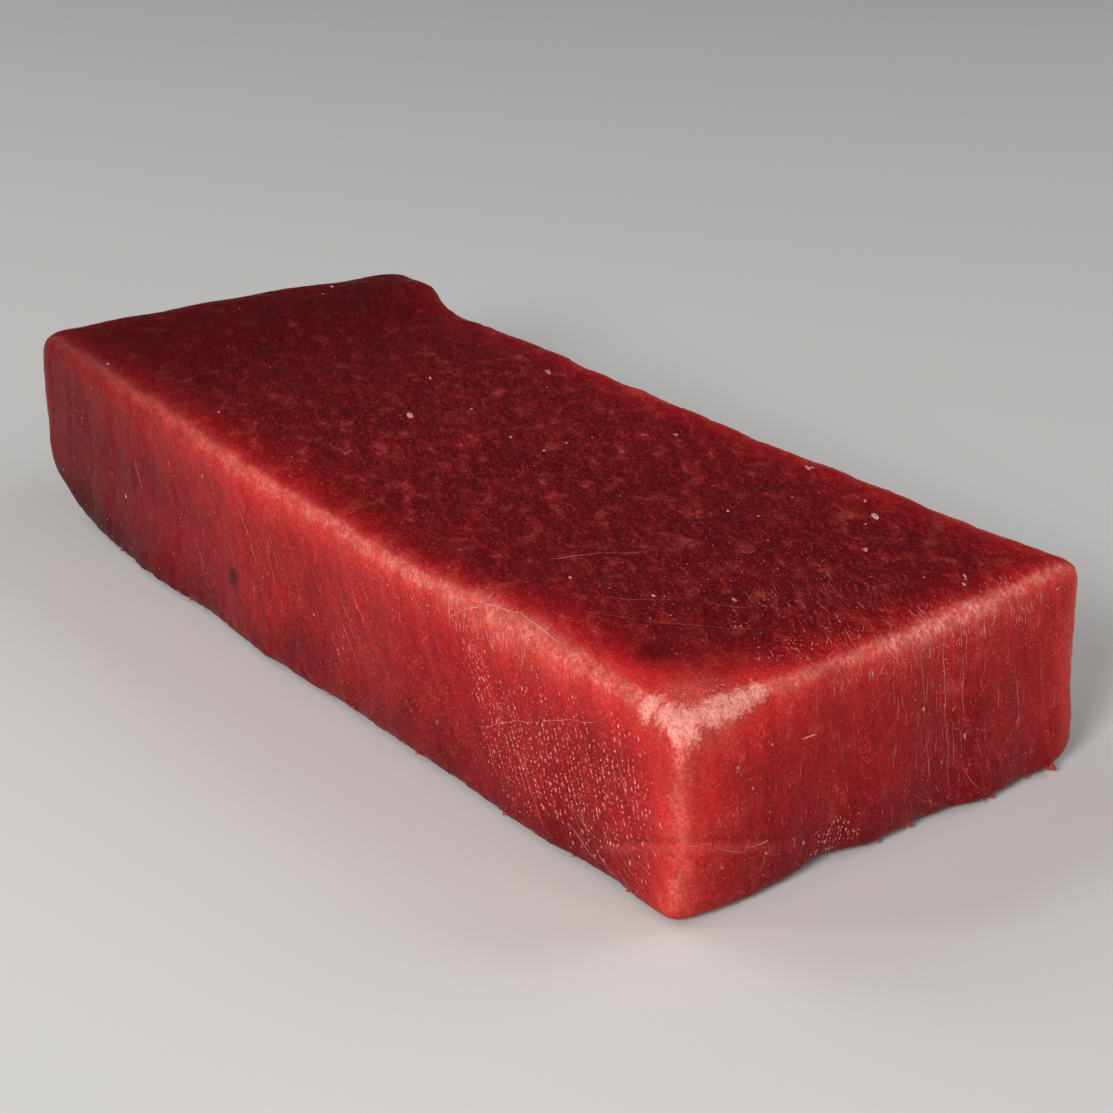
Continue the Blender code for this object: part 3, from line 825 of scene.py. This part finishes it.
class TUNA_OT_tags(bpy.types.Operator):
    """Hangs the small torn tags of flesh along the foot of the block"""

    bl_idname = "tuna.tags"
    bl_label = "Tags"

    def execute(self, context):
        colours = context.scene.tuna_colours
        longest = context.scene.tuna_sizes.tag
        chance = random.Random(51)
        surface = flesh_surface()
        paths = []
        for side, across, up, scale in TAGS:
            spot, normal = on_side(surface, side, across, up)
            if spot is None:
                continue
            flat = Vector((normal.x, normal.y, 0)).normalized()
            along = flat.cross(Vector((0, 0, 1))) * chance.uniform(-0.7, 0.7)
            length = longest * scale
            path = []
            for n in range(TAG_STEPS + 1):
                share = n / TAG_STEPS
                reach = flat * (share * 0.9 - 0.3) + along * share + Vector((0, 0, -0.4)) * share * share
                radius = length * (0.42 - 0.34 * share ** 1.5)
                place = spot + reach * length * 0.8
                place.z = max(place.z, radius)
                path.append((place, radius))
            paths.append(path)
        mesh = path_mesh("torn_tags", paths)
        inputs = {"Tissue": moist_material("torn_flesh", colours.fibre, colours.flesh, 1.1, 0.3, 0.3)}
        lay_piece("torn_tags", mesh, inputs, thread_tree)
        return {"FINISHED"}


# Rows of fibre ends, in millimetres: side, middle, half width, half length, lean, gap, how large.
FIBRE_ROWS = (
    ("front", 77.5, 15.0, 7.0, 13.0, 12.0, 1.0, 1.6),
    ("front", 67.0, 13.5, 10.0, 13.0, 20.0, 0.82, 1.3),
    ("front", 55.0, 11.5, 10.0, 11.5, 32.0, 0.8, 1.1),
    ("front", 46.5, 19.0, 4.5, 9.0, 40.0, 0.95, 1.25),
    ("front", 58.0, 22.0, 6.0, 6.0, 36.0, 0.95, 0.9),
    ("front", 20.0, 14.0, 22.0, 9.0, 36.0, 1.7, 0.85),
    ("end", 9.0, 22.0, 7.0, 5.0, 9.5, 1.1, 0.75),
    ("back", -46.0, 14.0, 15.0, 10.0, 30.0, 1.3, 1.0),
    ("back", 34.0, 17.0, 12.0, 8.0, 34.0, 1.5, 0.85),
    ("far", 12.0, 17.0, 12.0, 9.0, -9.5, 1.5, 0.8),
)
# Where single things lie: side, shape, middle, half size, how many, how large.
FIBRE_ENDS = (
    ("front", in_oval, 52.0, 27.5, 16.0, 2.6, 170, 0.7),
    ("front", in_oval, 30.0, 26.5, 14.0, 2.4, 120, 0.65),
    ("front", in_oblong, 0.0, 15.0, 86.0, 14.0, 420, 0.7),
    ("end", in_oblong, 0.0, 16.0, 36.0, 14.0, 420, 0.65),
    ("end", in_oval, 10.0, 27.5, 20.0, 2.0, 150, 0.7),
    ("end", in_oval, -10.0, 4.6, 4.6, 2.8, 80, 0.95),
    ("top", in_oval, 83.5, -31.0, 3.6, 5.0, 60, 0.9),
    ("far", in_oblong, 0.0, 16.0, 36.0, 14.0, 260, 0.7),
    ("back", in_oblong, 0.0, 15.0, 86.0, 14.0, 460, 0.75),
    ("top", in_oblong, 0.0, 0.0, 86.0, 36.0, 460, 0.6),
    ("top", in_oval, 66.0, -6.0, 20.0, 22.0, 240, 0.75),
    ("top", in_oval, 45.0, -34.5, 22.0, 1.8, 170, 0.65),
    ("top", in_oval, 81.5, -12.0, 3.5, 9.0, 70, 0.85),
    ("top", in_oval, 83.5, 4.0, 2.6, 28.0, 140, 0.65),
)
FLECKS = (
    ("top", in_oval, 60.0, 0.0, 28.0, 32.0, 26, 1.0),
    ("top", in_oblong, 0.0, 0.0, 84.0, 35.0, 38, 1.0),
    ("end", in_oblong, 2.0, 16.0, 34.0, 13.0, 40, 0.8),
    ("front", in_oblong, 0.0, 16.0, 84.0, 12.0, 40, 0.7),
    ("back", in_oblong, 0.0, 16.0, 84.0, 12.0, 46, 0.8),
    ("far", in_oblong, 0.0, 16.0, 34.0, 12.0, 26, 0.8),
    ("under", in_oblong, 0.0, 0.0, 80.0, 32.0, 50, 0.9),
    ("top", in_oval, -15.3, 5.4, 0.4, 0.4, 2, 1.8),
    ("top", in_oval, -18.3, -4.2, 0.4, 0.4, 2, 1.8),
    ("top", in_oval, -21.3, 26.2, 0.9, 0.9, 4, 2.3),
    ("top", in_oval, 13.8, 24.1, 0.5, 0.5, 3, 1.9),
    ("top", in_oval, 37.3, 30.8, 0.6, 0.6, 3, 1.9),
    ("top", in_oval, 57.2, 24.9, 0.5, 0.5, 3, 1.9),
    ("top", in_oval, 64.3, 15.9, 0.5, 0.5, 3, 1.8),
    ("top", in_oval, 66.4, -10.0, 0.4, 0.4, 2, 1.6),
    ("top", in_oval, 69.9, -7.9, 0.4, 0.4, 2, 1.6),
)
# The edge of the thin membrane that arches over the shoulder.
MEMBRANE_EDGE = (
    (39.1, -37.4, 25.4), (43.6, -36.5, 28.2), (46.0, -34.9, 29.2), (51.0, -33.7, 29.6), (56.1, -34.3, 29.4),
    (61.0, -34.6, 29.4),
)
# Threads: side, start, stop, how thick.
SINEWS = (
    ("front", (45.5, 11.4), (58.0, 17.6), 0.7),
    ("front", (58.0, 17.6), (72.3, 23.4), 0.6),
    ("end", (-31.1, 10.6), (-26.6, 8.2), 0.5),
    ("end", (-25.7, 8.4), (-22.0, 8.6), 1.5),
    ("end", (-36.0, 12.6), (-31.7, 11.4), 0.6),
    ("end", (1.6, 7.5), (12.1, 0.9), 0.3),
    ("end", (12.6, 8.0), (18.0, 1.2), 0.3),
    ("end", (18.0, 1.2), (15.5, 8.5), 0.3),
    ("end", (8.2, 27.6), (9.6, 16.0), 0.8),
    ("end", (9.6, 16.0), (11.6, 3.0), 0.6),
    ("end", (3.2, 28.4), (5.6, 16.0), 0.7),
    ("end", (5.9, 15.0), (7.4, 7.2), 0.8),
    ("end", (12.0, 24.0), (13.1, 15.0), 0.7),
    ("end", (22.9, 20.0), (24.4, 10.0), 0.8),
    ("end", (-16.9, 21.3), (-14.7, 21.0), 2.4),
    ("top", (55.3, -23.8), (60.1, -18.5), 0.4),
    ("top", (64.1, -14.1), (69.7, -9.7), 0.35),
    ("top", (39.6, -20.4), (43.0, -13.6), 0.8),
    ("top", (43.0, -13.6), (46.6, -8.8), 0.5),
)
# Fields of threads: side, middle, half size, how many, lean, its spread, shortest, longest, how thick.
SINEW_FIELDS = (
    ("end", 8.5, 17.0, 9.0, 8.0, 36, 9.5, 5.0, 1.2, 5.0, 0.42),
    ("end", 2.0, 15.0, 32.0, 12.0, 36, 9.5, 7.0, 1.2, 4.0, 0.4),
    ("end", 10.0, 4.5, 12.0, 3.0, 14, 20.0, 12.0, 1.2, 3.5, 0.4),
    ("end", 8.0, 27.4, 20.0, 1.6, 110, 9.5, 14.0, 0.8, 2.2, 0.8),
    ("top", 84.3, 8.0, 1.8, 24.0, 90, 62.0, 14.0, 0.8, 2.4, 0.7),
    ("top", 75.0, -1.0, 9.0, 9.0, 60, 61.0, 3.0, 1.2, 5.0, 0.42),
    ("front", 47.5, 26.6, 8.5, 2.0, 170, 14.0, 14.0, 0.7, 1.8, 0.65),
    ("top", 51.0, -34.4, 8.5, 1.2, 90, 20.0, 20.0, 0.7, 1.6, 0.65),
    ("front", 10.0, 15.0, 74.0, 11.0, 26, 33.0, 4.0, 3.0, 11.0, 0.5),
    ("front", 74.0, 5.0, 8.0, 3.0, 18, 58.0, 6.0, 2.0, 7.0, 0.6),
    ("far", 0.0, 16.0, 33.0, 12.0, 44, -9.5, 4.0, 3.0, 11.0, 0.6),
    ("back", 0.0, 15.0, 80.0, 11.0, 40, 32.0, 4.0, 3.0, 11.0, 0.6),
)
# Torn tags: side, place, how long.
TAGS = (
    ("end", 31.3, 1.4, 1.1),
    ("end", 27.0, 1.0, 0.5),
    ("end", 19.0, 0.9, 0.6),
    ("end", 17.5, 1.0, 0.45),
    ("end", 4.5, 1.0, 0.8),
    ("end", 3.2, 1.0, 0.55),
    ("end", -1.4, 0.9, 0.6),
    ("end", -13.0, 1.0, 0.4),
    ("front", 77.0, 0.9, 0.4),
    ("front", 66.0, 0.9, 0.35),
    ("front", 52.0, 1.0, 0.5),
    ("front", 31.0, 1.0, 0.45),
    ("front", 8.0, 1.0, 0.5),
    ("front", -34.0, 1.0, 0.6),
    ("front", -58.0, 1.0, 0.45),
    ("back", 60.0, 1.0, 0.6),
    ("back", 22.0, 1.0, 0.5),
    ("back", -9.0, 1.0, 0.7),
    ("back", -46.0, 1.0, 0.5),
    ("far", 20.0, 1.0, 0.6),
    ("far", -8.0, 1.0, 0.8),
)


class TUNA_OT_stage(bpy.types.Operator):
    """Sets the plain pale floor, the soft studio light and the camera"""

    bl_idname = "tuna.stage"
    bl_label = "Stage"

    def execute(self, context):
        scene = context.scene
        floor = bpy.data.meshes.new("floor")
        corners = [(x * FLOOR_HALF, y * FLOOR_HALF, 0) for x, y in ((-1, -1), (1, -1), (1, 1), (-1, 1))]
        floor.from_pydata(corners, [], [(0, 1, 2, 3)])
        material, shader, new = new_material("pale_board")
        new(shader, {"Base Color": scene.tuna_colours.floor, "Roughness": 0.7})
        floor.materials.append(material)
        ground = placed("floor", floor)

        world = bpy.data.worlds.new("studio")
        scene.world = world
        world.use_nodes = True
        sky = world.node_tree.nodes["Background"]
        sky.inputs["Color"].default_value = SKY
        sky.inputs["Strength"].default_value = SKY_STRENGTH
        for name, azimuth, elevation, distance, size, power in LIGHTS:
            lamp = bpy.data.lights.new(name, "AREA")
            lamp.shape = "DISK"
            lamp.size = size
            lamp.energy = power
            light = placed(name, lamp)
            place = direction(azimuth, elevation) * distance
            light.location = place
            light.rotation_mode = "QUATERNION"
            light.rotation_quaternion = place.to_track_quat("Z", "Y")
        scene.camera = photo_camera()
        scene.view_settings.view_transform = "Standard"
        return {"FINISHED"}


# Lights: name, azimuth, elevation, distance, size across, power in watts. Azimuth 0 is out of the front side.
LIGHTS = (
    ("key", 28.0, 27.0, 0.9, 0.30, 5.6),
    ("glint", -25.0, 38.0, 0.8, 0.12, 0.7),
    ("fill", 100.0, 25.0, 1.2, 0.8, 2.6),
    ("back_right", 160.0, 40.0, 1.3, 0.9, 4.2),
    ("back_left", 292.0, 40.0, 1.3, 0.9, 4.2),
)

# The faint, slightly cool light from all round.
SKY = (0.95, 0.97, 1.0, 1.0)
SKY_STRENGTH = 0.06

# The camera as the photo has it: where it looks, from which way, and how far off.
CAMERA_TARGET = Vector((13.3, 1.3, 15.0)) * MM
CAMERA_AZIMUTH = 52.41
CAMERA_ELEVATION = 23.77
CAMERA_ROLL = 0.406
CAMERA_DISTANCE = 349.8 * MM
CAMERA_LENS = 73.55


def direction(azimuth, elevation):
    """The unit vector that points this way from the block."""
    a, e = math.radians(azimuth), math.radians(elevation)
    return Vector((math.sin(a) * math.cos(e), -math.cos(a) * math.cos(e), math.sin(e)))


def photo_camera():
    """The camera at the photo's viewing angle."""
    data = bpy.data.cameras.new("photo_camera")
    data.sensor_width = 36.0
    data.lens = CAMERA_LENS
    data.clip_start = 0.01
    camera = placed("photo_camera", data)
    back = direction(CAMERA_AZIMUTH, CAMERA_ELEVATION)
    a, roll = math.radians(CAMERA_AZIMUTH), math.radians(CAMERA_ROLL)
    level = Vector((math.cos(a), math.sin(a), 0.0))
    up = back.cross(level)
    right = level * math.cos(roll) + up * math.sin(roll)
    turned = Matrix((right, back.cross(right), back)).transposed()
    camera.matrix_world = Matrix.Translation(CAMERA_TARGET + back * CAMERA_DISTANCE) @ turned.to_4x4()
    return camera


OPERATORS = (
    TUNA_OT_flesh, TUNA_OT_fibre_ends, TUNA_OT_flecks, TUNA_OT_sinews, TUNA_OT_tags, TUNA_OT_stage,
)


class TUNA_PT_panel(bpy.types.Panel):
    """Lists the pieces of the block, its sizes and its colours"""

    bl_idname = "TUNA_PT_panel"
    bl_label = "Raw tuna block"
    bl_space_type = "VIEW_3D"
    bl_region_type = "UI"
    bl_category = "Tuna"

    def draw(self, context):
        for operator in OPERATORS:
            self.layout.operator(operator.bl_idname)
        for group in (context.scene.tuna_sizes, context.scene.tuna_colours):
            for name in group.__annotations__:
                self.layout.prop(group, name)


CLASSES = (TunaSizes, TunaColours, *OPERATORS, TUNA_PT_panel)


def register():
    """Makes the sizes, colours, operators and panel known to Blender."""
    for kind in CLASSES:
        bpy.utils.register_class(kind)
    bpy.types.Scene.tuna_sizes = bpy.props.PointerProperty(type=TunaSizes)
    bpy.types.Scene.tuna_colours = bpy.props.PointerProperty(type=TunaColours)


def unregister():
    """Takes them away again."""
    del bpy.types.Scene.tuna_colours
    del bpy.types.Scene.tuna_sizes
    for kind in reversed(CLASSES):
        bpy.utils.unregister_class(kind)


def main():
    """Builds every piece and the stage."""
    register()
    bpy.ops.tuna.flesh()
    bpy.ops.tuna.fibre_ends()
    bpy.ops.tuna.flecks()
    bpy.ops.tuna.sinews()
    bpy.ops.tuna.tags()
    bpy.ops.tuna.stage()


if __name__ == "__main__":
    main()
